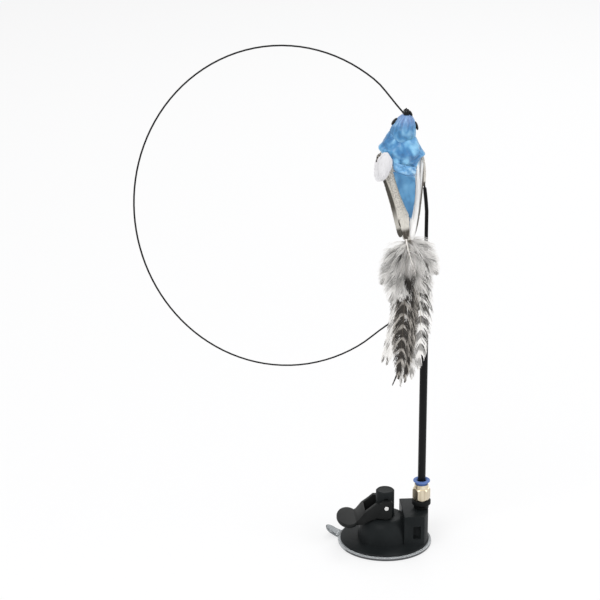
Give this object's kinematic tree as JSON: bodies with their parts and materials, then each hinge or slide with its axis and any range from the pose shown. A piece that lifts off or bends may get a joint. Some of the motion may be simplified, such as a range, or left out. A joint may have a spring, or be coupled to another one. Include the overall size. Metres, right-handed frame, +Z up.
{
  "type": "suction cup feather toy",
  "caption": "Lever-locked suction cup base with a push-in fitting, a short tube and a springy wire loop that hangs a feather bird.",
  "frame": {"origin": "centre of the suction cup on the surface that it grips", "axes": "+Z up along the cup's axis and the tube, -X towards the lever's paddle, +X towards the tube, -Y towards the bird"},
  "size_m": [0.2238, 0.0807, 0.3967],
  "materials": {
    "clear_pvc": "clear gloss",
    "black_plastic": "moulded satin",
    "steel": "bright",
    "nickel_brass": "nickel plated",
    "black_rubber": "matt",
    "blue_plastic": "moulded gloss",
    "black_tube": "smooth",
    "black_wire": "coated spring steel",
    "gloss_black": "polished",
    "blue_cloth": "satin",
    "white_felt": "felt",
    "wing_feather": "feather",
    "grey_plume": "down",
    "barred_feather": "barred feather",
    "thread": "wound thread"
  },
  "bodies": {
    "base": {"suction_pad": "clear_pvc", "base_cover": "black_plastic", "socket_adapter": "black_plastic", "fitting_body": "nickel_brass", "fitting_seal": "black_rubber"},
    "post": {"pull_post": "black_plastic", "post_foot": "black_plastic", "post_screw": "steel", "lever_pin": "steel"},
    "lever": {"lock_lever": "black_plastic"},
    "collar": {"release_collar": "blue_plastic"},
    "collet": {"gripper_collet": "steel"},
    "wand": {"wand_tube": "black_tube", "tube_end_bush": "black_rubber", "wire_sleeve": "black_tube", "wand_wire": "black_wire", "wire_crimp": "black_wire"},
    "link": {"hanging_link": "black_wire"},
    "bird": {"nose_eyelet": "steel", "bird_head": "blue_cloth", "beak_upper": "gloss_black", "beak_lower": "gloss_black", "left_eye": "gloss_black", "right_eye": "gloss_black", "cape": "blue_cloth", "chest_band": "blue_cloth", "bird_body": "blue_cloth", "back_flap": "blue_cloth", "left_wing": "wing_feather", "left_wing_patch": "white_felt", "right_wing": "wing_feather", "tail_binding": "thread", "plume_left": "grey_plume", "plume_right": "grey_plume", "plume_middle": "grey_plume", "tail_feather_left": "barred_feather", "tail_feather_outer": "barred_feather", "tail_feather_middle": "barred_feather", "tail_feather_thin": "barred_feather", "tail_feather_right": "barred_feather"}
  },
  "joints": [
    {"name": "post_slide", "type": "slide", "parent": "base", "child": "post", "axis": [0, 0, 1], "range_m": [-0.003, 0], "deforming": ["suction_pad"]},
    {"name": "lever_hinge", "type": "hinge", "parent": "post", "child": "lever", "pos_m": [0, 0, 0.0323], "axis": [0, 1, 0], "range_deg": [0, 95]},
    {"name": "collar_press", "type": "slide", "parent": "base", "child": "collar", "axis": [0, 0, 1], "range_m": [-0.001, 0], "stiffness_N_per_m": 300, "springref_m": 0.0005},
    {"name": "wand_swivel", "type": "hinge", "parent": "base", "child": "collet", "pos_m": [0.0281, 0, 0.042], "axis": [0, 0, 1], "continuous": true},
    {"name": "wand_pull", "type": "slide", "parent": "collet", "child": "wand", "axis": [0, 0, 1], "range_m": [0, 0.014]},
    {"name": "bird_swing", "type": "hinge", "parent": "wand", "child": "link", "pos_m": [0.0084, -0.0275, 0.3527], "axis": [0, 1, 0], "range_deg": [-35, 35]},
    {"name": "bird_twist", "type": "hinge", "parent": "link", "child": "bird", "pos_m": [0.0084, -0.0275, 0.35], "axis": [0, 0, 1], "range_deg": [-40, 40]}
  ],
  "couplings": [
    {"joint": "lever_hinge", "follows": "post_slide", "rad_per_m": -552.6}
  ]
}
